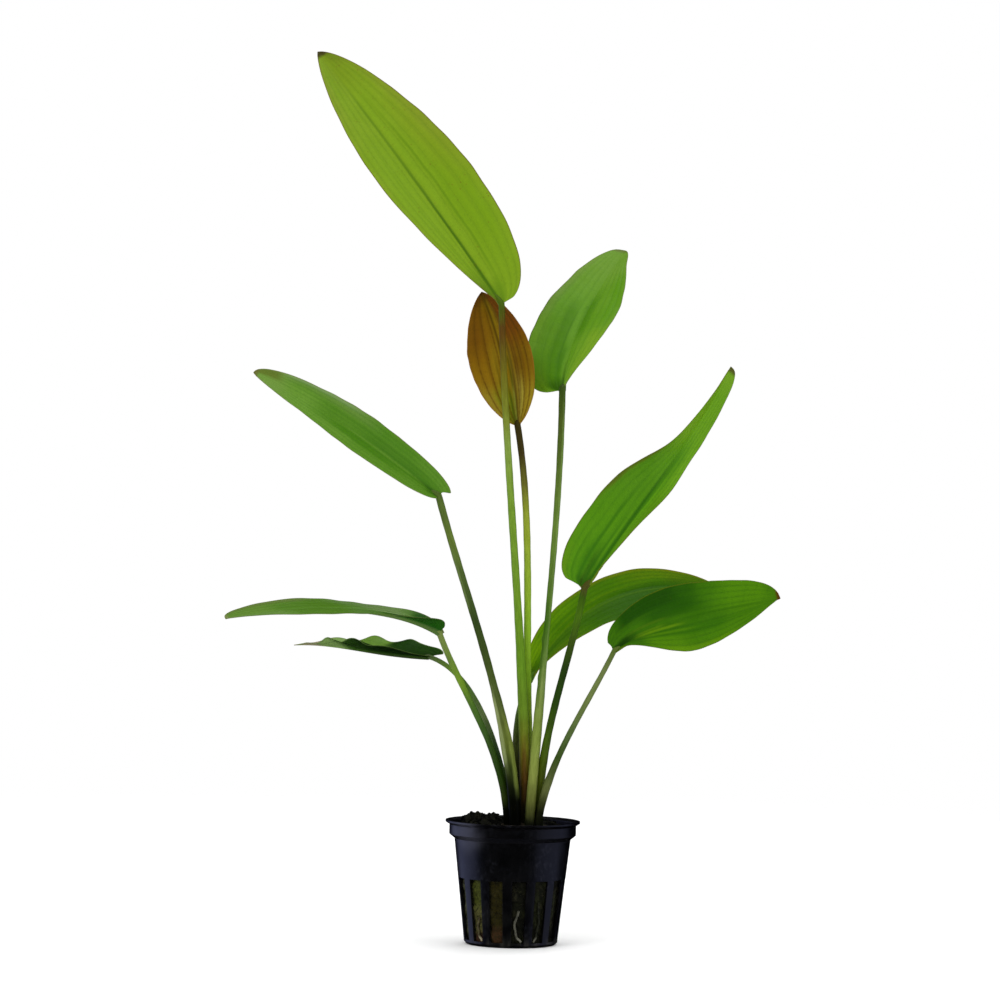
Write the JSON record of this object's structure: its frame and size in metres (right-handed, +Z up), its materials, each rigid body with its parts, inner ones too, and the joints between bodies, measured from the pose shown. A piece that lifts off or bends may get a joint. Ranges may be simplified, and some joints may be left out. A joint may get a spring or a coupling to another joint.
{
  "type": "potted aquarium plant",
  "caption": "Potted echinodorus: stalked lance-shaped leaves rising from a short crown in a slotted black net pot, stood in an aquarium or on a shelf as greenery.",
  "frame": {"origin": "centre of the flat underside of the pot", "axes": "+Z up along the pot's axis, -Y towards the viewer of the picture, +X to the viewer's right"},
  "size_m": [0.2254, 0.0946, 0.3704],
  "materials": {
    "black_plastic": "satin moulded plastic",
    "dark_medium": "damp dark crumbs",
    "crown_skin": "rough bark-like skin",
    "root_skin": "pale smooth root",
    "stalk_light": "smooth waxy skin",
    "stalk_dark": "smooth waxy skin",
    "yellow_green": "waxy leaf, satin",
    "bronze": "waxy leaf, satin",
    "mid_green": "waxy leaf, satin",
    "deep_green": "waxy leaf, glossy"
  },
  "bodies": {
    "root": {"pot": "black_plastic", "growing_medium": "dark_medium", "crown": "crown_skin", "root_front": "root_skin", "root_left": "root_skin", "root_right": "root_skin", "root_back": "root_skin", "stalk_top": "stalk_light", "stalk_young": "stalk_light", "stalk_back_right": "stalk_dark", "stalk_long_right": "stalk_dark", "stalk_behind_right": "stalk_dark", "stalk_front_right": "stalk_light", "stalk_high_left": "stalk_dark", "stalk_arching_left": "stalk_light", "stalk_low_left": "stalk_dark", "blade_top": "yellow_green", "blade_young": "bronze", "blade_back_right": "mid_green", "blade_long_right": "mid_green", "blade_behind_right": "deep_green", "blade_front_right": "deep_green", "blade_high_left": "mid_green", "blade_arching_left": "mid_green", "blade_low_left": "deep_green"}
  },
  "joints": []
}
